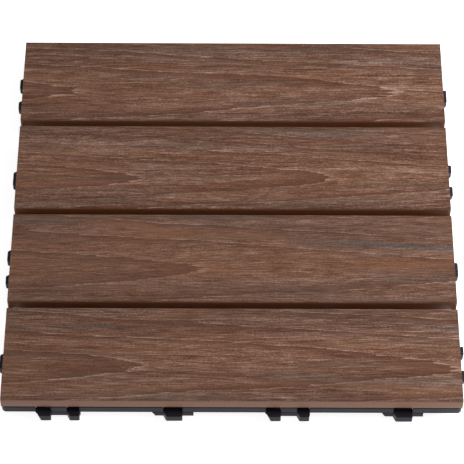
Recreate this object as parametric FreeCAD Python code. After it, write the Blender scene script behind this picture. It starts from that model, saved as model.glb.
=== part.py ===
import FreeCAD, Part
import os

# Interlocking deck tile: wood-plastic boards screwed from below to one moulded plastic grid.
# Millimetres. X runs along the boards, -Y is the front edge, Z is up, the feet stand at Z = 0.

# Boards, extruded and sawn to length
slat_count = 4
slat_length = 300.0
slat_width = 71.4
slat_gap = 4.8
slat_thickness = 9.0
slat_top_radius = 1.6
slat_bottom_chamfer = 0.5
channel_count = 6
channel_width = 6.0
channel_depth = 1.0
channel_margin = 4.2
channel_draft = 0.6

# Moulded grid: rim, lattice and the deeper runner ribs
base_height = 13.5
rim_height = 6.8
rim_wall = 2.4
rim_corner_radius = 3.0
rim_lower_chamfer = 0.6
rim_upper_chamfer = 0.8
cells_per_side = 10
rib_wall = 1.8
runner_first = 2
runner_every = 3
runner_runout = 12.0

# Snap connectors: one double and one single lug in turn along every edge
connectors_per_edge = 4
lug_drop = 5.5
lug_height = 6.0
lug_reach = 3.8
lug_nose = 0.6
lug_taper = 0.5
lug_shelf_depth = 6.0
lug_shelf_thickness = 1.8
mating_clearance = 0.2
tab_right = 5.3
tab_root_width = 12.4
prong_left_root = -15.3
prong_right = 13.1
prong_lean = 0.25
skirt_lean = 0.5
skirt_chamfer = 0.8
double_skirt_left = -15.8
double_skirt_right = 13.6
single_skirt_left = -14.4
single_skirt_right = 12.5

# Screw posts and screws
screws_per_slat = 3
screw_inset_cells = 2
screw_shank_diameter = 3.6
screw_hole_clearance = 0.3
screw_cover = 2.5
screw_head_diameter = 8.0
screw_head_height = 2.2
pilot_clearance = 0.1
pilot_spare = 0.6
web_thickness = 2.6
post_clearance = 0.7
post_wall = 1.8

# Feet, each one two crossed plates under a crossing of the lattice
foot_wall = 2.0
foot_top_span = 12.0
foot_tip_span = 8.0

# Worked out from the sizes above
deck_depth = slat_count * slat_width + (slat_count - 1) * slat_gap
slat_pitch = slat_width + slat_gap
tile_joint = slat_gap
rim_bottom = base_height - rim_height
lug_top = base_height - lug_drop
lug_bottom = lug_top - lug_height
web_bottom = base_height - web_thickness
screw_tip = base_height + slat_thickness - screw_cover
post_bore = screw_head_diameter + 2 * post_clearance
post_width = post_bore + 2 * post_wall
cell_x = slat_length / cells_per_side
cell_y = deck_depth / cells_per_side
tab_root_left = tab_right - tab_root_width
slot_left = -tab_right - mating_clearance
slot_right_root = -tab_root_left - lug_taper * tile_joint + mating_clearance * (1 + lug_taper)


def vector(x, y, z):
    return FreeCAD.Vector(x, y, z)


def rounded_wire(corners, place):
    """Closed outline through corners (a, b, radius); place turns (a, b) into a point in space."""
    spans = []
    for index, (a, b, radius) in enumerate(corners):
        here = vector(a, b, 0)
        before = vector(*corners[index - 1][:2], 0) - here
        after = vector(*corners[(index + 1) % len(corners)][:2], 0) - here
        before.normalize()
        after.normalize()
        middle = before + after
        middle.normalize()
        half_cos = middle.dot(before)
        half_sin = (1 - half_cos ** 2) ** 0.5
        reach = radius * half_cos / half_sin
        crown = here + middle * (radius / half_sin - radius)
        spans.append((here + before * reach, crown, here + after * reach, radius))
    edges = []
    for index, (start, crown, end, radius) in enumerate(spans):
        if radius > 0:
            points = [place(p.x, p.y) for p in (start, crown, end)]
            edges.append(Part.Arc(*points).toShape())
        following = spans[(index + 1) % len(spans)][0]
        edges.append(Part.LineSegment(place(end.x, end.y), place(following.x, following.y)).toShape())
    return Part.Wire(edges)


def block(x_low, x_high, y_low, y_high, z_low, z_high):
    """Straight bar between two opposite corners."""
    return Part.makeBox(x_high - x_low, y_high - y_low, z_high - z_low, vector(x_low, y_low, z_low))


def upright_plate(profile, thickness):
    """Plate standing in the XZ plane: its outline (x, z) thickened evenly about Y = 0."""
    points = [vector(x, -thickness / 2, z) for x, z in profile]
    face = Part.Face(Part.makePolygon(points + points[:1]))
    return face.extrude(vector(0, thickness, 0))


def centred(count, pitch):
    """Places of a row of things about zero."""
    return [(index - (count - 1) / 2) * pitch for index in range(count)]


slat_rows = centred(slat_count, slat_pitch)
screw_span = (cells_per_side - 2 * screw_inset_cells) * cell_x
screw_columns = centred(screws_per_slat, screw_span / (screws_per_slat - 1))
screw_places = [(x, y) for y in slat_rows for x in screw_columns]


def slat(row):
    """One board: rounded top edges, relief channels below, a pilot hole for each screw."""
    half = slat_width / 2
    channel_span = slat_width - 2 * channel_margin - channel_width
    corners = [(-half, slat_bottom_chamfer, 0), (slat_bottom_chamfer - half, 0, 0)]
    for middle in centred(channel_count, channel_span / (channel_count - 1)):
        mouth = channel_width / 2
        roof = mouth - channel_draft
        corners += [(middle - mouth, 0, 0), (middle - roof, channel_depth, 0)]
        corners += [(middle + roof, channel_depth, 0), (middle + mouth, 0, 0)]
    corners += [(half - slat_bottom_chamfer, 0, 0), (half, slat_bottom_chamfer, 0)]
    corners += [(half, slat_thickness, slat_top_radius), (-half, slat_thickness, slat_top_radius)]

    def place(across, height):
        return vector(-slat_length / 2, row + across, base_height + height)

    board = Part.Face(rounded_wire(corners, place)).extrude(vector(slat_length, 0, 0))
    pilot_radius = screw_shank_diameter / 2 + pilot_clearance
    pilot_depth = screw_tip + pilot_spare - base_height
    pilots = [Part.makeCylinder(pilot_radius, pilot_depth, vector(x, row, base_height)) for x in screw_columns]
    return board.cut(pilots)


def screw(x, y):
    """Pan-head screw driven upwards, its head bearing on the underside of the post's web."""
    head = screw_head_diameter / 2
    shank = screw_shank_diameter / 2
    bottom = web_bottom - screw_head_height
    profile = [(0, bottom), (head, bottom), (head, web_bottom), (shank, web_bottom)]
    profile += [(shank, screw_tip), (0, screw_tip)]
    points = [vector(radius, 0, height) for radius, height in profile]
    turned = Part.Face(Part.makePolygon(points + points[:1])).revolve(vector(0, 0, 0), vector(0, 0, 1), 360)
    turned.translate(vector(x, y, 0))
    return turned


def rim():
    """Band around the tile, rounded at its corners and chamfered along its outer edges."""
    half_x = slat_length / 2
    half_y = deck_depth / 2
    sides = ((-1, -1), (1, -1), (1, 1), (-1, 1))
    corners = [(x * half_x, y * half_y, rim_corner_radius) for x, y in sides]
    outline = rounded_wire(corners, lambda x, y: vector(x, y, rim_bottom))
    slab = Part.Face(outline).extrude(vector(0, 0, rim_height))
    lower = [edge for edge in slab.Edges if edge.BoundBox.ZMax < rim_bottom + rim_height / 4]
    slab = slab.makeChamfer(rim_lower_chamfer, lower)
    upper = [edge for edge in slab.Edges if edge.BoundBox.ZMin > base_height - rim_height / 4]
    slab = slab.makeChamfer(rim_upper_chamfer, upper)
    inner_x = half_x - rim_wall
    inner_y = half_y - rim_wall
    return slab.cut(block(-inner_x, inner_x, -inner_y, inner_y, rim_bottom, base_height))


def window_spans(length, pitch):
    """Where the cells lie between the ribs, along one side of the lattice."""
    spans = []
    for index in range(cells_per_side):
        low = max(index * pitch + rib_wall / 2, rim_wall)
        high = min((index + 1) * pitch - rib_wall / 2, length - rim_wall)
        spans.append((low - length / 2, high - length / 2))
    return spans


def rectangle(left, right, front, back):
    """Closed outline at the level of the ribs' lower edges."""
    sides = [(left, front), (right, front), (right, back), (left, back), (left, front)]
    return Part.makePolygon([vector(x, y, rim_bottom) for x, y in sides])


def lattice():
    """Square ribs that fill the rim: one extruded face with a window for every cell."""
    half_x = slat_length / 2 - rim_wall / 2
    half_y = deck_depth / 2 - rim_wall / 2
    windows = []
    for left, right in window_spans(slat_length, cell_x):
        windows += [rectangle(left, right, *span) for span in window_spans(deck_depth, cell_y)]
    outlines = [rectangle(-half_x, half_x, -half_y, half_y)] + windows
    face = Part.makeFace(outlines, "Part::FaceMakerCheese")
    return face.extrude(vector(0, 0, rim_height))


def runner_ribs():
    """Every third rib reaches down to the level of the lugs and runs out before the rim."""
    ribs = []
    for length, width, pitch, turn in ((slat_length, deck_depth, cell_y, 0), (deck_depth, slat_length, cell_x, 90)):
        half = length / 2 - rim_wall / 2
        foot = half - runner_runout
        profile = [(-half, base_height), (half, base_height), (half, rim_bottom), (foot, lug_bottom)]
        profile += [(-foot, lug_bottom), (-half, rim_bottom)]
        for line in range(runner_first, cells_per_side, runner_every):
            rib = upright_plate(profile, rib_wall)
            rib.translate(vector(0, line * pitch - width / 2, 0))
            rib.rotate(vector(0, 0, 0), vector(0, 0, 1), turn)
            ribs.append(rib)
    return ribs


def feet():
    """Crossed tapering plates under every second crossing of the lattice."""
    top = foot_top_span / 2
    tip = foot_tip_span / 2
    profile = [(-top, rim_bottom), (-tip, 0), (tip, 0), (top, rim_bottom), (top, base_height), (-top, base_height)]
    plate = upright_plate(profile, foot_wall)
    crossed = plate.copy()
    crossed.rotate(vector(0, 0, 0), vector(0, 0, 1), 90)
    foot = plate.fuse(crossed)
    placed = []
    for column in range(1, cells_per_side, 2):
        for row in range(1, cells_per_side, 2):
            copy = foot.copy()
            copy.translate(vector(column * cell_x - slat_length / 2, row * cell_y - deck_depth / 2, 0))
            placed.append(copy)
    return placed


def square_bar(x, y, width, bottom, top):
    """Upright square bar about a point."""
    half = width / 2
    return block(x - half, x + half, y - half, y + half, bottom, top)


def post_ribs():
    """A short rib through every screw post, which ties it to the ribs on both sides."""
    half = rib_wall / 2
    return [block(x - cell_x, x + cell_x, y - half, y + half, rim_bottom, base_height) for x, y in screw_places]


def tapered_bar(left_root, left_tip, right, out_low, out_high, bottom, top, lean):
    """Bar through an edge of the tile, with a left flank that draws in towards its tip and bottom.

    Seen from outside the edge, X is to the right. The edge is the plane Y = 0, with -Y outside it.
    """
    drop = (top - bottom) * lean
    sections = []
    for out, left in ((out_low, left_root), (out_high, left_tip)):
        points = [vector(left, -out, top), vector(right, -out, top)]
        points += [vector(right, -out, bottom), vector(left + drop, -out, bottom)]
        sections.append(Part.makePolygon(points + points[:1]))
    return Part.makeLoft(sections, True, True)


def lug(left_root, right, lean):
    """One lug: a bar with its nose chamfered below and at the sides, and the shelf behind the rim."""
    left_back = left_root - lug_taper * rim_wall
    left_tip = left_root + lug_taper * lug_reach
    bar = tapered_bar(left_back, left_tip, right, -rim_wall, lug_reach, lug_bottom, lug_top, lean)
    nose = [edge for edge in bar.Edges if edge.BoundBox.YMax < -lug_reach / 2]
    nose = [edge for edge in nose if edge.BoundBox.ZMin < (lug_bottom + lug_top) / 2]
    bar = bar.makeChamfer(lug_nose, nose)
    shelf = block(left_root, right, rim_wall, lug_shelf_depth, lug_top - lug_shelf_thickness, lug_top)
    return bar.fuse(shelf)


def skirt(left, right):
    """Wall below the rim that carries the lugs, its left flank leaning in towards the bottom."""
    wall = tapered_bar(left, left, right, -rim_wall, 0, lug_bottom, rim_bottom, skirt_lean)
    lower = [edge for edge in wall.Edges if edge.BoundBox.ZMax < (lug_bottom + rim_bottom) / 2]
    lower = [edge for edge in lower if edge.BoundBox.YMax < rim_wall / 2]
    return wall.makeChamfer(skirt_chamfer, lower)


def rim_notch(left_root, right):
    """Opening in the rim above a lug, through which its top face runs back under the board."""
    return block(left_root, right, -rim_wall, rim_wall, lug_top, base_height)


def double_connector():
    """Two prongs with a slot between them for the neighbour's tab: the solid and its rim notches."""
    spans = [(prong_left_root, slot_left, prong_lean), (slot_right_root, prong_right, 0)]
    lugs = [lug(*span) for span in spans]
    solid = skirt(double_skirt_left, double_skirt_right).multiFuse(lugs)
    return solid, [rim_notch(left, right) for left, right, lean in spans]


def single_connector():
    """One tab between two pockets for the neighbour's prongs: the solid and its rim notch."""
    tab = lug(tab_root_left, tab_right, 0)
    solid = skirt(single_skirt_left, single_skirt_right).fuse(tab)
    return solid, [rim_notch(tab_root_left, tab_right)]


def connectors():
    """Double and single connectors in turn along each edge, the same on all four edges."""
    kinds = [double_connector(), single_connector()]
    solids = []
    notches = []
    sides = ((slat_length, deck_depth), (deck_depth, slat_length)) * 2
    for quarter, (along, across) in enumerate(sides):
        for index, place in enumerate(centred(connectors_per_edge, along / connectors_per_edge)):
            solid, cuts = kinds[index % len(kinds)]
            for shape, kept in [(solid, solids)] + [(cut, notches) for cut in cuts]:
                copy = shape.copy()
                copy.translate(vector(place, -across / 2, 0))
                copy.rotate(vector(0, 0, 0), vector(0, 0, 1), 90 * quarter)
                kept.append(copy)
    return solids, notches


def base():
    """The moulded grid: everything plastic in one piece."""
    posts = []
    bores = []
    hole_radius = screw_shank_diameter / 2 + screw_hole_clearance
    for x, y in screw_places:
        posts.append(square_bar(x, y, post_width, 0, base_height))
        bores.append(square_bar(x, y, post_bore, 0, web_bottom))
        bores.append(Part.makeCylinder(hole_radius, base_height, vector(x, y, 0)))
    solids, notches = connectors()
    body = rim().multiFuse([lattice()] + runner_ribs() + feet() + post_ribs() + posts + solids)
    return body.cut(bores + notches).removeSplitter()


def write(name, solids):
    """One STEP file for a node, as one solid or as a group of separate solids."""
    shape = solids[0] if len(solids) == 1 else Part.makeCompound(solids)
    shape.exportStep(os.path.join("parts", name + ".step"))
    print(name, len(shape.Solids), "solids", round(shape.Volume / 1000, 1), "cm3", shape.isValid())


os.makedirs("parts", exist_ok=True)
write("base", base().Solids)
for number, row in enumerate(slat_rows, 1):
    write("slat_%d" % number, slat(row).Solids)
write("screws", [screw(x, y) for x, y in screw_places])
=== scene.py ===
# %% [markdown]
# # An interlocking deck tile
# The tile is four boards of embossed wood-plastic composite, screwed from below to one black moulded
# grid with snap lugs on its edges. The frame brings the solids at their real size and place. This
# lesson gives them their finish: it makes the boards and the screws again as finer meshes, with the
# pressed grain and the thread that the solids leave out, and it gives the moulded grid, whose shape
# is already right, a satin plastic surface.

# %% Load the frame
import math

import bpy
from mathutils import Matrix, Vector


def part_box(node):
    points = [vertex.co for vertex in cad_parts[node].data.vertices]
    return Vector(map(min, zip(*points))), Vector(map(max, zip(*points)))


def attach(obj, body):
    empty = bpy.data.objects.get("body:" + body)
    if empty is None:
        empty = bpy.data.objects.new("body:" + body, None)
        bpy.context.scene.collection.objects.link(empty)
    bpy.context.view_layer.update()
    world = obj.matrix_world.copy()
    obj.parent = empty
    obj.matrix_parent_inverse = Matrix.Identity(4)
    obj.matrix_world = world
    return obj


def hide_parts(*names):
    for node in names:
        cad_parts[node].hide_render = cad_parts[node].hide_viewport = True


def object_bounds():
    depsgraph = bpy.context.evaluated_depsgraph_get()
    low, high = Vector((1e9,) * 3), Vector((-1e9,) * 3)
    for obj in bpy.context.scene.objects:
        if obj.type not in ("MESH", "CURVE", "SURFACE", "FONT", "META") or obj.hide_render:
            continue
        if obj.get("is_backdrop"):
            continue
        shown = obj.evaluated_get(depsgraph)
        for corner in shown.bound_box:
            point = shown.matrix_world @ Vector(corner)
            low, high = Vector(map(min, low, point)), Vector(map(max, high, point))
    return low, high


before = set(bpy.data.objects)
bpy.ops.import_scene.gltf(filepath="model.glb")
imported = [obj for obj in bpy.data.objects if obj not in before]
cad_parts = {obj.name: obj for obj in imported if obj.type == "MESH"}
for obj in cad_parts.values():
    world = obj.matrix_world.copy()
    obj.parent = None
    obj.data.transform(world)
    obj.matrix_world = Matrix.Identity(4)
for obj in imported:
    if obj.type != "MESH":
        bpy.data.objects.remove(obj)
cad_low, cad_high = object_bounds()
scene = bpy.context.scene
MM = 0.001
print("nodes:", sorted(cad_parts), "size in mm:", [round(v / MM, 1) for v in cad_high - cad_low])

# %% [markdown]
# ## Three helpers
# A colour on a screen is written as sRGB, and a shader works in linear light, so one function turns
# the first into the second. A node tree is many small nodes, so a second function adds any node with
# its settings, fills its inputs with values or links, and gives back the output that is used next.
# A third starts a material with an empty tree.

# %% Helpers for colours and nodes
MATH = "ShaderNodeMath"
VECTOR = "ShaderNodeVectorMath"
NOISE = "ShaderNodeTexNoise"
COORDINATES = "ShaderNodeTexCoord"
JOIN_XYZ = "ShaderNodeCombineXYZ"
SPLIT_XYZ = "ShaderNodeSeparateXYZ"
MAP = "ShaderNodeMapRange"
MIX = "ShaderNodeMix"
BUMP = "ShaderNodeBump"
PRINCIPLED = "ShaderNodeBsdfPrincipled"
OUTPUT = "ShaderNodeOutputMaterial"
# a mix node has sockets for every kind of value; these are the ones for colours
SHARE, FIRST, SECOND = 0, 6, 7
OF_COLOURS = {"output": 2, "data_type": "RGBA"}


def linear(code):
    """The linear colour of an sRGB hex code such as 6f5142."""
    channels = [int(code[i:i + 2], 16) / 255 for i in (0, 2, 4)]
    return [c / 12.92 if c <= 0.04045 else ((c + 0.055) / 1.055) ** 2.4 for c in channels] + [1.0]


def add(tree, kind, inputs=(), output=0, **settings):
    """Adds a node with its settings, and its inputs by place or name, and returns one output."""
    node = tree.nodes.new(kind)
    for name, value in settings.items():
        setattr(node, name, value)
    for key, value in inputs.items() if isinstance(inputs, dict) else enumerate(inputs):
        if isinstance(value, bpy.types.NodeSocket):
            tree.links.new(value, node.inputs[key])
        else:
            node.inputs[key].default_value = value
    return node.outputs[output] if len(node.outputs) else None


def new_material(name):
    """An empty node material and its tree."""
    material = bpy.data.materials.new(name)
    material.use_nodes = True
    material.node_tree.nodes.clear()
    return material, material.node_tree


print("sRGB 6f5142 in linear light:", [round(c, 3) for c in linear("6f5142")])

# %% [markdown]
# ## The camera
# The photograph looks down on the tile from the front at about 55 degrees, from some five tile
# widths away, so the sides hardly run together. A camera could be placed by eye, but then the render
# and the photograph couldn't be laid over each other. So the values below were fitted to the edges of
# the boards in the photograph: a distance, an elevation, and small turns and shifts. The lens follows
# from the focal length in pixels, because a lens in millimetres only means something with a sensor.

# %% Camera
IMAGE_PIXELS = 464
FOCAL_PIXELS = 2195.0
SENSOR_WIDTH = 36
CAMERA_DISTANCE = 1.495
ELEVATION = math.radians(55.23)
AZIMUTH = math.radians(-0.01)
ROLL = math.radians(0.23)
AIM = Vector((-0.0003, -0.0173, cad_high.z))

back = Vector((
    math.sin(AZIMUTH) * math.cos(ELEVATION),
    -math.cos(AZIMUTH) * math.cos(ELEVATION),
    math.sin(ELEVATION),
))
level = Vector((math.cos(AZIMUTH), math.sin(AZIMUTH), 0))
rise = back.cross(level)
right = math.cos(ROLL) * level + math.sin(ROLL) * rise
up = math.cos(ROLL) * rise - math.sin(ROLL) * level
turned = Matrix((right, up, back)).transposed().to_4x4()
camera_data = bpy.data.cameras.new("camera")
camera_data.sensor_width = SENSOR_WIDTH
camera_data.lens = SENSOR_WIDTH * FOCAL_PIXELS / IMAGE_PIXELS
camera = bpy.data.objects.new("camera", camera_data)
camera.matrix_world = Matrix.Translation(AIM + back * CAMERA_DISTANCE) @ turned
scene.collection.objects.link(camera)
scene.camera = camera
print("camera lens in mm:", round(camera_data.lens, 1))

# %% [markdown]
# ## Sizes of a board
# A board of wood-plastic is extruded: a hot paste of wood flour and plastic is pushed through a die,
# so every board has one section along its whole length. The sizes are read from the frame, and the
# few that a box can't give, such as the rounding of the top edges, repeat those of the solid.

# %% Board sizes
BOARDS = ["slat_1", "slat_2", "slat_3", "slat_4"]
board_low, board_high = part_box(BOARDS[0])
board_length = board_high.x - board_low.x
board_width = board_high.y - board_low.y
board_height = board_high.z - board_low.z
board_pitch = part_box(BOARDS[1])[0].y - board_low.y
field_front = board_low.y - (board_pitch - board_width) / 2
TOP_RADIUS = 1.6 * MM
BOTTOM_CHAMFER = 0.5 * MM
CHANNELS = 6
CHANNEL_WIDTH = 6 * MM
CHANNEL_DEPTH = 1 * MM
CHANNEL_MARGIN = 4.2 * MM
CHANNEL_DRAFT = 0.6 * MM
print("board in mm:", [round(v / MM, 2) for v in (board_length, board_width, board_height)])

# %% [markdown]
# ## Where a point lies on its board
# The wood figure on such a board isn't in the material. An embossing roller or a brush presses it
# into the skin, and the colour follows the same figure. A picture of wood could colour the top, but
# it couldn't press the mesh. So one set of functions builds the figure as a rule, and both the
# geometry tree and the shader tree call it: relief and colour then agree to the last streak.
# The rule starts from a place in metres and finds the board, counted from the front, and how far
# along and across that board the place lies, in millimetres.

# %% Place on a board
# two board numbers are the same if they differ by less than this
SAME_BOARD = 0.5


def board_place(tree, place):
    """How far along, across and above a place lies in mm, and the number of its board."""
    in_mm = add(tree, VECTOR, [place, (1 / MM,) * 3], operation="MULTIPLY")
    along, y, height = add(tree, SPLIT_XYZ, [in_mm]).node.outputs
    from_front = add(tree, MATH, [y, field_front / MM], operation="SUBTRACT")
    steps = add(tree, MATH, [from_front, board_pitch / MM], operation="DIVIDE")
    board = add(tree, MATH, [steps], operation="FLOOR")
    share = add(tree, MATH, [steps, board], operation="SUBTRACT")
    across = add(tree, MATH, [share, board_pitch / MM, -board_pitch / MM / 2], operation="MULTIPLY_ADD")
    return {"along": along, "across": across, "height": height, "board": board}


def of_board(tree, board, values):
    """The one of the values that belongs to this board."""
    chosen = 0.0
    for number, value in enumerate(values):
        here = add(tree, MATH, [board, float(number), SAME_BOARD], operation="COMPARE")
        chosen = add(tree, MATH, [here, float(value), chosen], operation="MULTIPLY_ADD")
    return chosen


print("front of the field in mm:", round(field_front / MM, 1), "pitch:", round(board_pitch / MM, 1))

# %% [markdown]
# ## Figures of the grain
# Wood is streaks inside streaks: broad bands, narrow streaks, long fibres and short flecks. Each is a
# noise that is squeezed across the board and drawn out along it, by a width and a length in
# millimetres that were matched to the photograph. Real fibres are finer than the render can show, so
# the finest here are drawn half a millimetre wide. Long fibres alone look like a smear, so the short
# flecks break them up. The first noise is slow and has no colour of its own: it bends all that
# follow, as real grain wanders. The board's number sets the third coordinate, so every board gets a
# piece of pattern of its own.

# %% Noises of the grain
# length along and width across in mm, octaves
FIGURES = {
    "wander": (120, 24, 1.0),
    "bands": (150, 8, 2.0),
    "greys": (120, 6, 1.5),
    "warmth": (90, 10, 1.0),
    "streaks": (20, 1.2, 3.0),
    "fibres": (9, 0.5, 2.0),
    "pores": (8, 0.6, 0.0),
    "flecks": (1.6, 0.5, 1.0),
}
FIGURE_ROUGHNESS = 0.55
# how far the grain wanders across, in mm
WANDER = 8.0
# how far apart in the noise two boards and two figures lie
BOARD_STEP = 7.3
FIGURE_STEP = 3.7


def add_figures(tree, found):
    """Adds each noise to what is found, and returns the place across the board along the wavy grain."""
    across = found["across"]
    for number, (name, (length, width, octaves)) in enumerate(FIGURES.items()):
        u = add(tree, MATH, [found["along"], length], operation="DIVIDE")
        v = add(tree, MATH, [across, width], operation="DIVIDE")
        w = add(tree, MATH, [found["board"], BOARD_STEP, number * FIGURE_STEP], operation="MULTIPLY_ADD")
        spot = add(tree, JOIN_XYZ, [u, v, w])
        found[name] = add(tree, NOISE, {
            "Vector": spot, "Scale": 1.0, "Detail": octaves, "Roughness": FIGURE_ROUGHNESS,
        })
        if name == "wander":
            lift = add(tree, MATH, [found[name], 0.5], operation="SUBTRACT")
            across = add(tree, MATH, [lift, WANDER, across], operation="MULTIPLY_ADD")
    return across


print("figures:", ", ".join(FIGURES))

# %% [markdown]
# ## Arches of the growth rings
# A plank cut beside the middle of a trunk shows its growth rings as long pointed arches, one behind
# the other, and the roller copies them. Such an arch is nearly a hyperbola: a blunt tip and two
# straight flanks. So the rule takes how far a place lies ahead of the tip, adds what the arch falls
# back at that distance from its axis, and counts rings of that sum. In each ring the wood gets slowly
# darker towards one edge, and the thin light line where the next ring starts is a painted glint on
# the ridge there. Where the arches end on each board, and how clear they are, was read from the photograph.

# %% Rings
# for each board from the front: where along it an arch ends and the step to the next in mm, and how
# strong its figure is
ARCHES = ((-60, 207, 1.05), (-20, 207, 0.85), (-66, 132, 1.1), (-112, 226, 1.1))
# across the board in mm: where the tips lie, and how blunt they are
ARCH_AXIS = -10.0
ARCH_BLUNTNESS = 14.0
# mm across for each mm along, on the flanks
ARCH_TAPER = 0.06
# how much of a ring the streaks fray its edge by
ARCH_FEATHER = 0.16
# the share of a ring where it starts to darken, and the share that its painted glint takes
RING_DARKENS = 0.7
PAINTED_GLINT_SHARE = 0.04


def add_rings(tree, found, across):
    """Adds the rings' dark edge, a painted glint where each ring starts, and the strength of the board's
    figure.
    """
    tips, steps, strengths = zip(*ARCHES)
    tip = of_board(tree, found["board"], tips)
    step = of_board(tree, found["board"], steps)
    found["strength"] = of_board(tree, found["board"], strengths)
    side = add(tree, MATH, [across, ARCH_AXIS], operation="SUBTRACT")
    squared = add(tree, MATH, [side, side, ARCH_BLUNTNESS ** 2], operation="MULTIPLY_ADD")
    bow = add(tree, MATH, [squared], operation="SQRT")
    fall = add(tree, MATH, [bow, 1 / ARCH_TAPER, -ARCH_BLUNTNESS / ARCH_TAPER], operation="MULTIPLY_ADD")
    past_tip = add(tree, MATH, [found["along"], tip], operation="SUBTRACT")
    ahead = add(tree, MATH, [past_tip, fall], operation="ADD")
    counted = add(tree, MATH, [ahead, step], operation="DIVIDE")
    feather = add(tree, MATH, [found["streaks"], ARCH_FEATHER, -ARCH_FEATHER / 2], operation="MULTIPLY_ADD")
    frayed = add(tree, MATH, [counted, feather], operation="ADD")
    ring = add(tree, MATH, [frayed], operation="FRACT")
    found["ring_edge"] = add(tree, MAP, [ring, RING_DARKENS, 1.0, 0.0, 1.0])
    # a painted glint: a thin light line on the ridge where the next ring starts
    found["painted_ring_glint"] = add(tree, MAP, [ring, 0.0, PAINTED_GLINT_SHARE, 1.0, 0.0])


print("tips of the arches along the boards in mm:", [tip for tip, step, strength in ARCHES])

# %% [markdown]
# ## The whole rule, and its relief
# The grain is the place, the figures and the rings together. The relief isn't measured, because the
# photograph shows it from too far away. It is chosen so that the pores are pressed deepest, and the
# dark streaks and the late wood at a ring's edge about half as deep.

# %% Grain and relief
# where in a noise a hollow starts and where it is full, from 0 to 1
STREAK_HOLLOWS = (0.35, 0.65)
PORE_HOLLOWS = (0.56, 0.66)
# depth beside a pore's depth of 1
STREAK_DEPTH = 0.5
RING_DEPTH = 0.6


def grain(tree, place):
    """Outputs that say where on its board a place in metres lies, and what the grain does there."""
    found = board_place(tree, place)
    across = add_figures(tree, found)
    add_rings(tree, found, across)
    return found


def relief(tree, found):
    """How deep the grain is pressed, beside a pore's depth of 1."""
    hollow = add(tree, MAP, [found["streaks"], *STREAK_HOLLOWS, 1.0, 0.0])
    pore = add(tree, MAP, [found["pores"], *PORE_HOLLOWS, 0.0, 1.0])
    both = add(tree, MATH, [hollow, STREAK_DEPTH, pore], operation="MULTIPLY_ADD")
    return add(tree, MATH, [found["ring_edge"], RING_DEPTH, both], operation="MULTIPLY_ADD")


print("deepest relief in pore depths:", 1 + STREAK_DEPTH + RING_DEPTH)

# %% [markdown]
# ## The boards' finish: embossed wood-plastic composite
# Wood-plastic composite is wood flour in polyethylene, coloured right through. Its embossed top is a
# dull reddish brown that runs from dark to pale in streaks. So the noises are weighed and summed to
# one tone, which picks a colour from a ramp of five browns. The weights were fitted to the photograph,
# by how much its tone swings over marks of each width. The contrast also grows a little from left to
# right there, and each board is a little darker towards its long edges, so the rule does both.

# %% Tone of the composite
WOOD_TONES = ("2b1407", "4e2a15", "6c4a39", "8f6d5b", "b6998a")
NOISE_WEIGHTS = {"bands": 0.55, "streaks": 0.75, "fibres": 0.85, "flecks": 0.75}
# weights of the rings' dark edge, and of the painted glint on the ridge where a ring starts
RING_WEIGHTS = {"ring_edge": -0.06, "painted_ring_glint": 0.32}
TONE_MIDDLE = 0.53
CONTRAST_LEFT = 0.88
CONTRAST_RIGHT = 1.12
# across the board in mm: the line it is measured from, where the edge starts and where it is full
EDGE_MIDDLE = -3.0
EDGE_START = 8.0
EDGE_FULL = 33.0
EDGE_DARKER = 0.055

composite, tree = new_material("embossed_wood_plastic_composite")
place = add(tree, COORDINATES, output="Object")
found = grain(tree, place)
along, across, board = found["along"], found["across"], found["board"]
# a noise is 0.5 on average, so half of the weights keeps the swing about 0
swing = -sum(NOISE_WEIGHTS.values()) / 2
for name, weight in {**NOISE_WEIGHTS, **RING_WEIGHTS}.items():
    swing = add(tree, MATH, [found[name], weight, swing], operation="MULTIPLY_ADD")
half_length = board_length / MM / 2
rightwards = add(tree, MAP, [along, -half_length, half_length, CONTRAST_LEFT, CONTRAST_RIGHT])
contrast = add(tree, MATH, [rightwards, found["strength"]], operation="MULTIPLY")
beside = add(tree, MATH, [across, EDGE_MIDDLE], operation="SUBTRACT")
off_middle = add(tree, MATH, [beside], operation="ABSOLUTE")
edge = add(tree, MAP, [off_middle, EDGE_START, EDGE_FULL, 0.0, 1.0])
middle_tone = add(tree, MATH, [edge, -EDGE_DARKER, TONE_MIDDLE], operation="MULTIPLY_ADD")
tone = add(tree, MATH, [swing, contrast, middle_tone], operation="MULTIPLY_ADD")
browns = add(tree, "ShaderNodeValToRGB", [tone])
stops = browns.node.color_ramp.elements
while len(stops) < len(WOOD_TONES):
    stops.new(0.5)
for number, code in enumerate(WOOD_TONES):
    stops[number].position = number / (len(WOOD_TONES) - 1)
    stops[number].color = linear(code)
print("nodes up to the tone:", len(tree.nodes))

# %% [markdown]
# ## Grey streaks
# Each board also has a few long grey-brown streaks, like mineral stain in hardwood. They are single
# marks with a place, not a texture, so each one is a row with its ends and its width, drawn as a soft
# line. A flat grey laid over the grain would hide it, so the streak lowers the saturation and the
# value of whatever brown is below it. The long edges of a board are greyed in the same way, only
# less.

# %% Streaks of the composite
# board, along from and to, across from and to and half width in mm, and strength
GREY_STREAKS = (
    (0, -210, 35, 21, 21, 1.5, 0.6),
    (0, 80, 230, 27, 12, 3.0, 0.75),
    (0, 0, 230, -19, -22, 3.0, 0.5),
    (1, 25, 230, 15, 3.6, 2.6, 0.85),
    (1, 60, 230, -17, -18, 2.0, 0.5),
    (2, -120, 0, 19, 19, 1.6, 0.4),
    (2, 10, 230, 27.5, 21, 3.0, 0.5),
    (3, -120, 50, 24, 13, 2.0, 0.4),
    (3, 20, 230, 24, 10, 2.0, 0.5),
)
# mm along over which a streak fades at its ends, and half widths where it is full and where it ends
STREAK_FADE = 60.0
STREAK_CORE = 0.3
STREAK_RIM = 1.5
EDGE_GREY = 0.22
# saturation and value of plain brown and of a full streak
PLAIN_SATURATION = 1.03
STREAK_SATURATION = 0.58
STREAK_VALUE = 0.6

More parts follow.
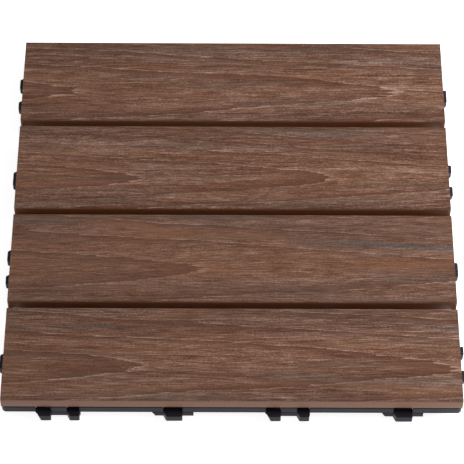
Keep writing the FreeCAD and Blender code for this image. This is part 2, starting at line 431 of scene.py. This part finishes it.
streaked = add(tree, MATH, [edge, EDGE_GREY], operation="MULTIPLY")
for number, start, end, first, last, half, strength in GREY_STREAKS:
    here = add(tree, MATH, [board, float(number), SAME_BOARD], operation="COMPARE")
    from_centre = add(tree, MATH, [along, (start + end) / 2], operation="SUBTRACT")
    off_centre = add(tree, MATH, [from_centre], operation="ABSOLUTE")
    reach = (end - start) / 2
    in_span = add(tree, MAP, [off_centre, reach - STREAK_FADE, reach, 1.0, 0.0])
    line = add(tree, MAP, [along, float(start), float(end), float(first), float(last)])
    from_line = add(tree, MATH, [across, line], operation="SUBTRACT")
    off_line = add(tree, MATH, [from_line], operation="ABSOLUTE")
    profile = [off_line, half * STREAK_CORE, half * STREAK_RIM, strength, 0.0]
    on_line = add(tree, MAP, profile, interpolation_type="SMOOTHSTEP")
    on_board = add(tree, MATH, [here, in_span], operation="MULTIPLY")
    shown = add(tree, MATH, [on_board, on_line], operation="MULTIPLY")
    streaked = add(tree, MATH, [streaked, shown], operation="MAXIMUM")
print("grey streaks:", len(GREY_STREAKS), "nodes so far:", len(tree.nodes))

# %% [markdown]
# ## Colour of the top
# The colour is laid on as a painter would, one glaze over the other: brown, a cooler grey-brown in
# patches, the grey streaks, a warm orange-brown in other patches, and the darker late wood at the
# edges of the rings. Last, the pressed hollows are shaded, because the finest of them are narrower
# than a pixel and their own shadows would be lost.

# %% Colour of the top
GREY_TONE = "5a4c42"
WARM_TONE = "87583c"
RING_TONE = "5a3524"
# where in its noise a patch starts and where it is full, and how strong it is then
GREY_PATCHES = (0.5, 0.75)
GREY_MOST = 0.5
WARM_PATCHES = (0.5, 0.8)
WARM_MOST = 0.4
# the rings are at half strength in cool wood and at full strength in warm wood
RING_WARMTH = (0.35, 0.65)
RING_STRENGTH = 0.62
# how bright a hollow still is, and at which depth
HOLLOW_SHADE = 0.72
HOLLOW_FULL = 1.6

greyed = add(tree, MAP, [found["greys"], *GREY_PATCHES, 0.0, GREY_MOST])
colour = add(tree, MIX, {SHARE: greyed, FIRST: browns, SECOND: linear(GREY_TONE)}, **OF_COLOURS)
saturation = add(tree, MAP, [streaked, 0.0, 1.0, PLAIN_SATURATION, STREAK_SATURATION])
value = add(tree, MAP, [streaked, 0.0, 1.0, 1.0, STREAK_VALUE])
colour = add(tree, "ShaderNodeHueSaturation", {"Saturation": saturation, "Value": value, "Color": colour})
warmed = add(tree, MAP, [found["warmth"], *WARM_PATCHES, 0.0, WARM_MOST])
colour = add(tree, MIX, {SHARE: warmed, FIRST: colour, SECOND: linear(WARM_TONE)}, **OF_COLOURS)
strong = add(tree, MAP, [found["warmth"], *RING_WARMTH, RING_STRENGTH / 2, RING_STRENGTH])
late_wood = add(tree, MATH, [found["ring_edge"], strong], operation="MULTIPLY")
ringed = add(tree, MATH, [late_wood, found["strength"]], operation="MULTIPLY")
colour = add(tree, MIX, {SHARE: ringed, FIRST: colour, SECOND: linear(RING_TONE)}, **OF_COLOURS)
shade = add(tree, MAP, [relief(tree, found), 0.0, HOLLOW_FULL, 1.0, HOLLOW_SHADE])
top_colour = add(tree, VECTOR, [colour, shade], operation="MULTIPLY")
print("nodes up to the top's colour:", len(tree.nodes))

# %% [markdown]
# ## Sides and sawn ends
# The roller only touches the top. Below the rounded edge the extruded skin is plain and of one
# colour, and where a saw cut the board the wood flour in it shows as pale specks in a darker ground.
# The height above the floor tells the side from the top, and the direction that the surface faces
# tells the ends.

# %% Colour of the sides and the ends
SIDE_TONE = "7a4a2b"
END_TONE = "4e372c"
FLOUR_TONE = "7a6050"
# mm below the top where the plain side starts, and where it is full
SIDE_START = 0.6
SIDE_FULL = 1.3
# how much a surface faces along the board where the sawn end starts, and where it is full
END_FACING = (0.6, 0.8)
# size of the wood flour in mm, coarser than real flour so that it shows, and where in its noise a
# speck starts and where it is full
FLOUR_GRAIN = 0.5
FLOUR_SPECKS = (0.5, 0.7)

top_mm = board_high.z / MM
is_side = add(tree, MAP, [found["height"], top_mm - SIDE_FULL, top_mm - SIDE_START, 1.0, 0.0])
colour = add(tree, MIX, {SHARE: is_side, FIRST: top_colour, SECOND: linear(SIDE_TONE)}, **OF_COLOURS)
facing_x = add(tree, SPLIT_XYZ, [add(tree, COORDINATES, output="Normal")])
is_end = add(tree, MAP, [add(tree, MATH, [facing_x], operation="ABSOLUTE"), *END_FACING, 0.0, 1.0])
flour = add(tree, NOISE, {"Vector": place, "Scale": 1 / (FLOUR_GRAIN * MM), "Detail": 2.0})
speck = add(tree, MAP, [flour, *FLOUR_SPECKS, 0.0, 1.0])
sawn = add(tree, MIX, {SHARE: speck, FIRST: linear(END_TONE), SECOND: linear(FLOUR_TONE)}, **OF_COLOURS)
colour = add(tree, MIX, {SHARE: is_end, FIRST: colour, SECOND: sawn}, **OF_COLOURS)
print("nodes up to the whole colour:", len(tree.nodes))

# %% [markdown]
# ## Gloss of the composite
# Polyethylene has an IOR of 1.5. On the top the fine relief spreads the light, so it is matt, and a
# little less so in the smooth pale streaks. The extruded sides are smoother and mirror more of the
# white floor, which brings the open front face near to its pale colour in the photograph. Fibres and
# flour that are finer than the mesh could be modelled too, but a bump costs no points.

# %% Composite shader
COMPOSITE_IOR = 1.5
TOP_GLOSS = 0.25
SIDE_GLOSS = 0.5
# roughness in the dark and in the pale streaks, and where in their noise each is reached
TOP_ROUGHNESS = (0.66, 0.54)
ROUGHNESS_STREAKS = (0.3, 0.7)
SIDE_ROUGHNESS = 0.42
FIBRE_BUMP = 0.55
FIBRE_HEIGHT = 0.12 * MM

top_rough = add(tree, MAP, [found["streaks"], *ROUGHNESS_STREAKS, *TOP_ROUGHNESS])
rough = add(tree, MAP, [is_side, 0.0, 1.0, top_rough, SIDE_ROUGHNESS])
gloss = add(tree, MAP, [is_side, 0.0, 1.0, TOP_GLOSS, SIDE_GLOSS])
fine = add(tree, MATH, [found["fibres"], flour], operation="ADD")
fine = add(tree, MATH, [fine, 0.5], operation="MULTIPLY")
bump = add(tree, BUMP, {"Strength": FIBRE_BUMP, "Distance": FIBRE_HEIGHT, "Height": fine})
shader = add(tree, PRINCIPLED, {
    "Base Color": colour, "Roughness": rough, "IOR": COMPOSITE_IOR,
    "Specular IOR Level": gloss, "Normal": bump,
})
add(tree, OUTPUT, [shader])
print("composite nodes:", len(tree.nodes))

# %% [markdown]
# ## The die: the outline of a board's section
# The board of the frame could be kept, but its top has no points inside it that could be pressed.
# Extrusion starts from a die, so the new mesh does too: a closed outline across the board, with
# rounded top edges, small chamfers below and six shallow channels that save material.
# The top gets a point every third of a millimetre, because the grain is pressed into those points.

# %% Outline of the section
TOP_STEP = 0.32 * MM
ARC_STEPS = 5


def section_outline():
    """Points across a board, with its middle at 0 and its bottom at height 0, all the way round."""
    half = board_width / 2
    land = (board_width - 2 * CHANNEL_MARGIN - CHANNELS * CHANNEL_WIDTH) / (CHANNELS - 1)
    points = [(-half + BOTTOM_CHAMFER, 0.0)]
    for number in range(CHANNELS):
        start = -half + CHANNEL_MARGIN + number * (CHANNEL_WIDTH + land)
        points.append((start, 0.0))
        points.append((start + CHANNEL_DRAFT, CHANNEL_DEPTH))
        points.append((start + CHANNEL_WIDTH - CHANNEL_DRAFT, CHANNEL_DEPTH))
        points.append((start + CHANNEL_WIDTH, 0.0))
    points.append((half - BOTTOM_CHAMFER, 0.0))
    points.append((half, BOTTOM_CHAMFER))
    arc = []
    for step in range(ARC_STEPS + 1):
        turn = math.pi / 2 * step / ARC_STEPS
        inwards = TOP_RADIUS * (1 - math.cos(turn))
        arc.append((half - inwards, board_height - TOP_RADIUS * (1 - math.sin(turn))))
    points += arc
    flat = board_width - 2 * TOP_RADIUS
    count = round(flat / TOP_STEP)
    points += [(flat / 2 - flat * step / count, board_height) for step in range(1, count)]
    points += [(-across_board, height) for across_board, height in reversed(arc)]
    points.append((-half, BOTTOM_CHAMFER))
    return points


outline = section_outline()
print("points in the outline:", len(outline))

# %% [markdown]
# ## The extruder
# One geometry tree does what the factory does, in three steps. First it takes the outline as a curve,
# draws it along a straight line into a board, and moves the board to its place. Code could list the
# points of the whole board, but in a tree the sizes are named inputs, so a board of another length or
# with deeper grain is one changed value.

# %% Draw the outline into a board
TRANSFORM = "GeometryNodeTransform"
SWEEP = "GeometryNodeCurveToMesh"
QUARTER_TURN = math.radians(90)


def new_tree(name, sizes):
    """A geometry tree with a geometry going in and out, and its named inputs."""
    tree = bpy.data.node_groups.new(name, "GeometryNodeTree")
    tree.interface.new_socket("Geometry", in_out="INPUT", socket_type="NodeSocketGeometry")
    for label, kind in sizes.items():
        tree.interface.new_socket(label, in_out="INPUT", socket_type="NodeSocket" + kind)
    tree.interface.new_socket("Geometry", in_out="OUTPUT", socket_type="NodeSocketGeometry")
    return tree, tree.nodes.new("NodeGroupInput").outputs


board_tree, given = new_tree("extrude_and_emboss", {
    "Length": "Float", "Rows": "Int", "Place": "Vector", "Half Flat": "Float", "Grain Depth": "Float",
    "Hole Spacing": "Float", "Hole Radius": "Float", "Hole Depth": "Float", "Finish": "Material",
})
tree = board_tree

line = add(tree, "GeometryNodeCurvePrimitiveLine", {"End": add(tree, JOIN_XYZ, {"Z": given["Length"]})})
path = add(tree, "GeometryNodeResampleCurve", {"Curve": line, "Count": given["Rows"]})
die = add(tree, "GeometryNodeMeshToCurve", [given["Geometry"]])
swept = add(tree, SWEEP, {"Curve": path, "Profile Curve": die, "Fill Caps": True})
laid = add(tree, TRANSFORM, {
    "Geometry": swept, "Translation": given["Place"], "Rotation": (QUARTER_TURN, 0, QUARTER_TURN),
})
print("nodes up to the plain board:", len(tree.nodes))

# %% [markdown]
# ## The embossing roller
# Next the tree presses the grain down into the top. Only the points of the flat top move, and the
# press fades out before the rounded edges. A bump would shade the same grain, but pressed points are
# part of the mesh, so the board has its grain wherever the mesh is used.

# %% Press the grain into the top
# how far inside the flat top the press starts to fade, and how near the top a point has to be
PRESS_FADE = 2 * MM
TOP_TOLERANCE = 0.01 * MM

position = add(tree, "GeometryNodeInputPosition")
pressed = relief(tree, grain(tree, position))
_, y, z = add(tree, SPLIT_XYZ, [position]).node.outputs
_, middle, bottom = add(tree, SPLIT_XYZ, [given["Place"]]).node.outputs
aside = add(tree, MATH, [add(tree, MATH, [y, middle], operation="SUBTRACT")], operation="ABSOLUTE")
fade_start = add(tree, MATH, [given["Half Flat"], PRESS_FADE], operation="SUBTRACT")
fade = add(tree, MAP, [aside, fade_start, given["Half Flat"], 1.0, 0.0])
on_top = add(tree, MATH, [z, board_high.z - TOP_TOLERANCE], operation="GREATER_THAN")
faded = add(tree, MATH, [pressed, fade], operation="MULTIPLY")
push = add(tree, MATH, [faded, given["Grain Depth"]], operation="MULTIPLY")
drop = add(tree, JOIN_XYZ, {"Z": add(tree, MATH, [push, -1.0], operation="MULTIPLY")})
embossed = add(tree, "GeometryNodeSetPosition", {"Geometry": laid, "Selection": on_top, "Offset": drop})
print("nodes up to the embossed board:", len(tree.nodes))

# %% [markdown]
# ## The blind holes
# Last the board is drilled from below for its screws, because the screws need room in it as in the
# solid. A drill is a cylinder, set at each place and taken away from the board. It is twice as long
# as the hole is deep, because half of it lies below the board. Then the tree makes all copies real
# and gives the board its material.

# %% Drill for the screws
REALIZE = "GeometryNodeRealizeInstances"
PLACE_COPIES = "GeometryNodeInstanceOnPoints"
CUT = "GeometryNodeMeshBoolean"
SET_MATERIAL = "GeometryNodeSetMaterial"
SCREWS_A_BOARD = 3
HOLE_SIDES = 24


def hand_over(tree, geometry, material):
    """Makes the instances real, gives them their material and ends the tree."""
    real = add(tree, REALIZE, [geometry])
    finished = add(tree, SET_MATERIAL, {"Geometry": real, "Material": material})
    tree.links.new(finished, tree.nodes.new("NodeGroupOutput").inputs[0])


through = add(tree, MATH, [given["Hole Depth"], 2.0], operation="MULTIPLY")
drill = add(tree, "GeometryNodeMeshCylinder", {
    "Vertices": HOLE_SIDES, "Radius": given["Hole Radius"], "Depth": through,
})
first_x = add(tree, MATH, [given["Hole Spacing"], -(SCREWS_A_BOARD - 1) / 2], operation="MULTIPLY")
holes = add(tree, "GeometryNodeMeshLine", {
    "Count": SCREWS_A_BOARD, "Start Location": add(tree, JOIN_XYZ, [first_x, middle, bottom]),
    "Offset": add(tree, JOIN_XYZ, [given["Hole Spacing"]]),
}, mode="OFFSET")
drills = add(tree, REALIZE, [add(tree, PLACE_COPIES, {"Points": holes, "Instance": drill})])
drilled = add(tree, CUT, {"Mesh 1": embossed, "Mesh 2": drills}, operation="DIFFERENCE", solver="MANIFOLD")
hand_over(tree, drilled, given["Finish"])
print("nodes in the board's tree:", len(tree.nodes))

# %% [markdown]
# ## Four boards
# The same tree makes all four boards, each at the place of its node in the frame. The modifier is
# then turned into a plain mesh, so that the board's object sits at the origin with its place in its
# points. Smooth shading with sharp edges above 35 degrees keeps the chamfers and sawn ends crisp.
# A row of points every two millimetres along is enough, because the grain is long and thin.

# %% Make the boards
GRAIN_ROWS = 151
# how deep a pore is pressed
GRAIN_DEPTH = 0.132 * MM
SCREW_SPACING = 90 * MM
PILOT_DIAMETER = 3.8 * MM
PILOT_SPARE = 0.6 * MM
SHARP = math.radians(35)
screws_low, screws_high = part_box("screws")


def settle(piece, tree, values):
    """Runs the tree on the piece with the given inputs, and leaves only the plain mesh it made."""
    modifier = piece.modifiers.new(tree.name, "NODES")
    modifier.node_group = tree
    for item in tree.interface.items_tree:
        if item.name in values:
            modifier[item.identifier] = values[item.name]
    graph = bpy.context.evaluated_depsgraph_get()
    plain = bpy.data.meshes.new_from_object(piece.evaluated_get(graph))
    piece.modifiers.clear()
    piece.data = plain
    plain.name = piece.name
    plain.shade_smooth()
    plain.set_sharp_from_angle(angle=SHARP)
    return piece


def new_piece(name, points, edges=(), faces=()):
    """An object with a mesh of its own, in the scene."""
    mesh = bpy.data.meshes.new(name)
    mesh.from_pydata(points, edges, faces)
    piece = bpy.data.objects.new(name, mesh)
    scene.collection.objects.link(piece)
    return piece


ring = [(i, (i + 1) % len(outline)) for i in range(len(outline))]
for node in BOARDS:
    low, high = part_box(node)
    board = new_piece(node.replace("slat", "board"), [(u, v, 0) for u, v in outline], ring)
    settle(board, board_tree, {
        "Length": board_length, "Rows": GRAIN_ROWS, "Place": (low.x, (low.y + high.y) / 2, low.z),
        "Half Flat": board_width / 2 - TOP_RADIUS, "Grain Depth": GRAIN_DEPTH,
        "Hole Spacing": SCREW_SPACING, "Hole Radius": PILOT_DIAMETER / 2,
        "Hole Depth": screws_high.z + PILOT_SPARE - low.z, "Finish": composite,
    })
    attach(board, "root")
    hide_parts(node)
    print(board.name, "faces:", len(board.data.polygons))

# %% [markdown]
# ## The grid's finish: moulded polypropylene
# Such grids are injection-moulded polypropylene, black right through. The walls of a mould are often
# spark-eroded, which leaves a very fine pebble, so the grid is satin: a clear but soft highlight. A
# real pebble is too fine to show, so it is drawn at 0.6 mm. A mould also rounds each edge a little.
# The edges could be cut again with a bevel, but the solid already has its shape and size, so a Bevel
# node only bends the shading there.

# %% Polypropylene material
PLASTIC_TONES = ("25222a", "2e2b34")
PLASTIC_GLOSS = 0.13
PLASTIC_ROUGHNESS = (0.34, 0.5)
# size of the pebble and of the faint clouds in the surface, in mm
PEBBLE = 0.6
CLOUD = 18
# the sum of pebble and cloud, 1 on average, that gives the least and the most roughness
UNEVEN = (0.7, 1.3)
PEBBLE_BUMP = 0.25
PEBBLE_HEIGHT = 0.03 * MM
EDGE_ROUNDING = 0.35 * MM
BEVEL_SAMPLES = 6
POLYPROPYLENE_IOR = 1.49

plastic, tree = new_material("satin_black_polypropylene")
place = add(tree, COORDINATES, output="Object")
pebble = add(tree, NOISE, {"Vector": place, "Scale": 1 / (PEBBLE * MM), "Detail": 2.0})
cloud = add(tree, NOISE, {"Vector": place, "Scale": 1 / (CLOUD * MM), "Detail": 3.0})
dark, pale = [linear(code) for code in PLASTIC_TONES]
colour = add(tree, MIX, {SHARE: cloud, FIRST: dark, SECOND: pale}, **OF_COLOURS)
uneven = add(tree, MATH, [pebble, cloud], operation="ADD")
rough = add(tree, MAP, [uneven, *UNEVEN, *PLASTIC_ROUGHNESS])
rounded = add(tree, "ShaderNodeBevel", {"Radius": EDGE_ROUNDING}, samples=BEVEL_SAMPLES)
bump = add(tree, BUMP, {
    "Strength": PEBBLE_BUMP, "Distance": PEBBLE_HEIGHT, "Height": pebble, "Normal": rounded,
})
shader = add(tree, PRINCIPLED, {
    "Base Color": colour, "Roughness": rough, "IOR": POLYPROPYLENE_IOR,
    "Specular IOR Level": PLASTIC_GLOSS, "Normal": bump,
})
add(tree, OUTPUT, [shader])
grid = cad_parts["base"]
grid.data.materials.clear()
grid.data.materials.append(plastic)
print("grid triangles:", len(grid.data.polygons))

# %% [markdown]
# ## The screws' finish: stainless steel
# The photograph hides the screws. Outdoor screws are often stainless, cold-headed and thread-rolled
# from wire and then tumbled clean, so these are too. The metal is pale and slightly warm, with a soft
# sheen that small knocks from the tumbling make uneven.

# %% Stainless material
STEEL_TONES = ("a9a7a3", "c4c2bd")
STEEL_ROUGHNESS = (0.24, 0.4)
# size of the knocks in mm, where in their noise each roughness is reached, and how deep they are
KNOCK = 0.8
KNOCK_RANGE = (0.3, 0.7)
KNOCK_BUMP = 0.2
KNOCK_DEPTH = 0.03 * MM

steel, tree = new_material("tumbled_stainless_steel")
place = add(tree, COORDINATES, output="Object")
tumbled = add(tree, NOISE, {"Vector": place, "Scale": 1 / (KNOCK * MM), "Detail": 3.0})
dark, pale = [linear(code) for code in STEEL_TONES]
colour = add(tree, MIX, {SHARE: tumbled, FIRST: dark, SECOND: pale}, **OF_COLOURS)
rough = add(tree, MAP, [tumbled, *KNOCK_RANGE, *STEEL_ROUGHNESS])
bump = add(tree, BUMP, {"Strength": KNOCK_BUMP, "Distance": KNOCK_DEPTH, "Height": tumbled})
shader = add(tree, PRINCIPLED, {"Base Color": colour, "Roughness": rough, "Metallic": 1.0, "Normal": bump})
add(tree, OUTPUT, [shader])
print("steel nodes:", len(tree.nodes))

# %% [markdown]
# ## The outline of a screw
# A pan-head screw is round about its axis: a domed head, a plain neck, a threaded shank and a point.
# A cylinder and a cone could be joined for it, but a list of radius and height gives every size its
# own name and one closed skin. Code spins it round the axis, from the crown to the point.

# %% Outline of a screw
HEAD_DIAMETER = 8 * MM
HEAD_HEIGHT = 2.2 * MM
# the shares of the head's radius that is flat and of its height that is domed
HEAD_FLAT = 0.45
HEAD_DOME = 0.75
HEAD_STEPS = 8
SHANK_DIAMETER = 3.6 * MM
CORE_DIAMETER = 2.6 * MM
NECK_LENGTH = 2 * MM
NECK_RUNOUT = 0.5 * MM
POINT_LENGTH = 2.4 * MM
# the shares of the core's width and of the point's length where the point turns steeper
POINT_WAIST = 0.5
POINT_STEEP = 0.35
TURN_STEPS = 32
screw_length = screws_high.z - screws_low.z


def spun(outline, steps):
    """Points and faces of an outline of (radius, height) spun about the axis, from pole to pole."""
    points = [(0, 0, outline[0][1])]
    for radius, height in outline[1:-1]:
        for step in range(steps):
            turn = 2 * math.pi * step / steps
            points.append((radius * math.cos(turn), radius * math.sin(turn), height))
    points.append((0, 0, outline[-1][1]))
    last = len(points) - 1
    faces = [(0, 1 + (s + 1) % steps, 1 + s) for s in range(steps)]
    for row in range(len(outline) - 3):
        a = 1 + row * steps
        b = a + steps
        faces += [(a + s, a + (s + 1) % steps, b + (s + 1) % steps, b + s) for s in range(steps)]
    a = last - steps
    faces += [(a + s, a + (s + 1) % steps, last) for s in range(steps)]
    return points, faces


head = [(0.0, 0.0)]
for step in range(1, HEAD_STEPS + 1):
    turn = math.pi / 2 * step / HEAD_STEPS
    radius = HEAD_DIAMETER / 2 * (HEAD_FLAT + (1 - HEAD_FLAT) * math.sin(turn))
    head.append((radius, HEAD_HEIGHT * HEAD_DOME * (1 - math.cos(turn))))
head.append((HEAD_DIAMETER / 2, HEAD_HEIGHT))
neck_end = HEAD_HEIGHT + NECK_LENGTH
shank = [
    (SHANK_DIAMETER / 2, HEAD_HEIGHT),
    (SHANK_DIAMETER / 2, neck_end),
    (CORE_DIAMETER / 2, neck_end + NECK_RUNOUT),
    (CORE_DIAMETER / 2, screw_length - POINT_LENGTH),
    (CORE_DIAMETER / 2 * POINT_WAIST, screw_length - POINT_LENGTH * POINT_STEEP),
    (0.0, screw_length),
]
print("points in the screw's outline:", len(head + shank))

# %% [markdown]
# ## One screw, then twelve
# The geometry tree cuts the cross recess into the head with two bars, winds the thread as a coil of
# triangular section round the core, and sets a copy at each of the twelve places, three under each
# board. A bump could draw the thread, but a coil gives it a true outline. The number and the places
# of the screws are those of the solids, which are a guess, because they hide below the tile.

# %% Tree that makes the screws
BAR = "GeometryNodeMeshCube"
RECESS_LENGTH = 4.4 * MM
RECESS_WIDTH = 1 * MM
RECESS_DEPTH = 1.3 * MM
THREAD_PITCH = 1.3 * MM
COIL_STEPS = 20
TOOTH_SIDES = 3

screw_tree, given = new_tree("cut_thread_and_repeat", {
    "Recess Length": "Float", "Recess Width": "Float", "Recess Depth": "Float", "Thread Start": "Float",
    "Thread Length": "Float", "Thread Turns": "Float", "Core Radius": "Float", "Crest Height": "Float",
    "Spacing X": "Float", "Spacing Y": "Float", "Height": "Float", "Finish": "Material",
})
tree = screw_tree

deep = add(tree, MATH, [given["Recess Depth"], 2.0], operation="MULTIPLY")
bar = add(tree, BAR, [add(tree, JOIN_XYZ, [given["Recess Length"], given["Recess Width"], deep])])
cross_bar = add(tree, BAR, [add(tree, JOIN_XYZ, [given["Recess Width"], given["Recess Length"], deep])])
recessed = given["Geometry"]
for cutter in (bar, cross_bar):
    recessed = add(tree, CUT, {"Mesh 1": recessed, "Mesh 2": cutter}, operation="DIFFERENCE", solver="EXACT")

coil = add(tree, "GeometryNodeCurveSpiral", {
    "Resolution": COIL_STEPS, "Rotations": given["Thread Turns"], "Start Radius": given["Core Radius"],
    "End Radius": given["Core Radius"], "Height": given["Thread Length"],
})
tooth = add(tree, "GeometryNodeCurvePrimitiveCircle", {
    "Resolution": TOOTH_SIDES, "Radius": given["Crest Height"],
})
thread = add(tree, SWEEP, {"Curve": coil, "Profile Curve": tooth, "Fill Caps": True})
thread_place = add(tree, JOIN_XYZ, {"Z": given["Thread Start"]})
thread = add(tree, TRANSFORM, {"Geometry": thread, "Translation": thread_place})
screw = add(tree, "GeometryNodeJoinGeometry", [recessed])
tree.links.new(thread, screw.node.inputs[0])

places = add(tree, "GeometryNodeMeshGrid", {
    "Size X": add(tree, MATH, [given["Spacing X"], SCREWS_A_BOARD - 1.0], operation="MULTIPLY"),
    "Size Y": add(tree, MATH, [given["Spacing Y"], len(BOARDS) - 1.0], operation="MULTIPLY"),
    "Vertices X": SCREWS_A_BOARD, "Vertices Y": len(BOARDS),
})
lift = add(tree, JOIN_XYZ, {"Z": given["Height"]})
lifted = add(tree, TRANSFORM, {"Geometry": places, "Translation": lift})
set_out = add(tree, PLACE_COPIES, {"Points": lifted, "Instance": screw})
hand_over(tree, set_out, given["Finish"])
print("nodes in the screw's tree:", len(tree.nodes))

# %% [markdown]
# ## All twelve screws in one piece
# The outline becomes the mesh of one screw, and the tree does the rest. The sizes go in by name, as
# for the boards. The screws could be twelve objects, but the frame holds them as one node, so they
# stay one piece.

# %% Make the screws
points, faces = spun(head + shank, TURN_STEPS)
thread_length = screw_length - neck_end - POINT_LENGTH
screws = settle(new_piece("pan_head_screws", points, (), faces), screw_tree, {
    "Recess Length": RECESS_LENGTH, "Recess Width": RECESS_WIDTH, "Recess Depth": RECESS_DEPTH,
    "Thread Start": neck_end, "Thread Length": thread_length,
    "Thread Turns": thread_length / THREAD_PITCH, "Core Radius": CORE_DIAMETER / 2,
    "Crest Height": (SHANK_DIAMETER - CORE_DIAMETER) / 2, "Spacing X": SCREW_SPACING,
    "Spacing Y": board_pitch, "Height": screws_low.z, "Finish": steel,
})
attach(screws, "root")
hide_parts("screws")
print("screw faces:", len(screws.data.polygons))

# %% [markdown]
# ## The floor
# The photograph has a plain white ground. White paint alone would come out grey in this weak light,
# and a floor that only glows would show no shadow. So the floor is paint in plain light, and for the
# camera, for gloss and for glass it also gives light of its own: it reads as white and still keeps
# the tile's soft shadow. Under the tile it gives none, because the gaps between the boards are
# dark in the photograph, and a bright floor mirrored in their walls would fill them. That dark square
# ends inside the tile's edge and lies a little further back, so that the open front face, which does
# mirror the floor, only sees the bright part. Seen from below the floor is clear, so the underside
# can be looked at.

# %% Floor
FLOOR_SIZE = 6.0
FLOOR_DROP = 0.05 * MM
FLOOR_PAINT = "e8e8e8"
WHITE = "ffffff"
FLOOR_GLOW = 0.85
# how far the floor's glow fades in under the tile's edge, and how far the dark square is set back
GLOW_FADE = 8 * MM


def seen_directly(tree):
    """1 for the camera, for gloss and for glass, and 0 for plain light."""
    ray = add(tree, "ShaderNodeLightPath").node.outputs
    seen = add(tree, MATH, [ray["Is Camera Ray"], ray["Is Glossy Ray"]], operation="MAXIMUM")
    return add(tree, MATH, [seen, ray["Is Transmission Ray"]], operation="MAXIMUM")


paint, tree = new_material("white_floor_paint")
matt = add(tree, "ShaderNodeBsdfDiffuse", {"Color": linear(FLOOR_PAINT)})
place = add(tree, COORDINATES, output="Object")
set_back = add(tree, VECTOR, [place, (0, GLOW_FADE, 0)], operation="SUBTRACT")
off_x, off_y, _ = add(tree, SPLIT_XYZ, [add(tree, VECTOR, [set_back], operation="ABSOLUTE")]).node.outputs
off_square = add(tree, MATH, [off_x, off_y], operation="MAXIMUM")
half_tile = board_length / 2
outside = add(tree, MAP, [off_square, half_tile - GLOW_FADE, half_tile, 0.0, FLOOR_GLOW])
strength = add(tree, MATH, [seen_directly(tree), outside], operation="MULTIPLY")
glow = add(tree, "ShaderNodeEmission", {"Color": linear(WHITE), "Strength": strength})
lit = add(tree, "ShaderNodeAddShader", [matt, glow])
clear = add(tree, "ShaderNodeBsdfTransparent")
under = add(tree, "ShaderNodeNewGeometry", output="Backfacing")
add(tree, OUTPUT, [add(tree, "ShaderNodeMixShader", [under, lit, clear])])
reach = FLOOR_SIZE / 2
signs = ((-1, -1), (1, -1), (1, 1), (-1, 1))
corners = [(x * reach, y * reach, -FLOOR_DROP) for x, y in signs]
floor = new_piece("floor", corners, (), [(0, 1, 2, 3)])
floor.data.materials.append(paint)
floor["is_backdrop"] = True
print("floor glow:", FLOOR_GLOW)

# %% [markdown]
# ## The world
# A white studio surrounds the tile. One white for all light would be simpler, but it would wash out
# what the softboxes model. So the world is pure white for the camera and in every mirror image, and
# much weaker as plain light.

# %% World
WORLD_LIGHT = 0.235

world = bpy.data.worlds.new("studio")
world.use_nodes = True
scene.world = world
tree = world.node_tree
tree.nodes.clear()
strength = add(tree, MAP, [seen_directly(tree), 0.0, 1.0, WORLD_LIGHT, 1.0])
background = add(tree, "ShaderNodeBackground", {"Color": linear(WHITE), "Strength": strength})
add(tree, "ShaderNodeOutputWorld", [background])
print("world light:", WORLD_LIGHT)

# %% [markdown]
# ## Studio light
# The boards in the photograph are brighter on the right than on the left, the gaps between them are
# dark, and the front faces are bright. One lamp in front would light the walls in the gaps as well.
# So the main softbox stands on the right, beside the tile's middle: its light runs along the gaps and
# hardly touches the walls that look to the front. A weaker one, low in front, passes over the gaps
# and adds mostly to the open front face. Both are large, so that shadows stay soft.

# %% Softboxes
# place and size in metres, and power in watts
SOFTBOXES = {
    "key": ((0.97, 0.06, 0.66), 0.7, 19.4),
    "front": ((0.45, -1.4, 0.42), 0.7, 2.6),
}
for name, (spot, size, power) in SOFTBOXES.items():
    lamp = bpy.data.lights.new(name, "AREA")
    lamp.shape = "SQUARE"
    lamp.size = size
    lamp.energy = power
    holder = bpy.data.objects.new(name, lamp)
    holder.location = spot
    holder.rotation_euler = (-Vector(spot)).to_track_quat("-Z", "Y").to_euler()
    scene.collection.objects.link(holder)
    print(name, "power in watts:", power)

# %% [markdown]
# ## Plain colours, sizes, and the end
# The Standard view shows a colour about as it is written. The sizes of the solids and of the dressed
# tile are kept side by side, because finish may not make the tile bigger.

# %% Finish
scene.view_settings.view_transform = "Standard"
low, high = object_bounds()
print("grown by mm:", [round(v / MM, 3) for v in (*(cad_low - low), *(high - cad_high))])
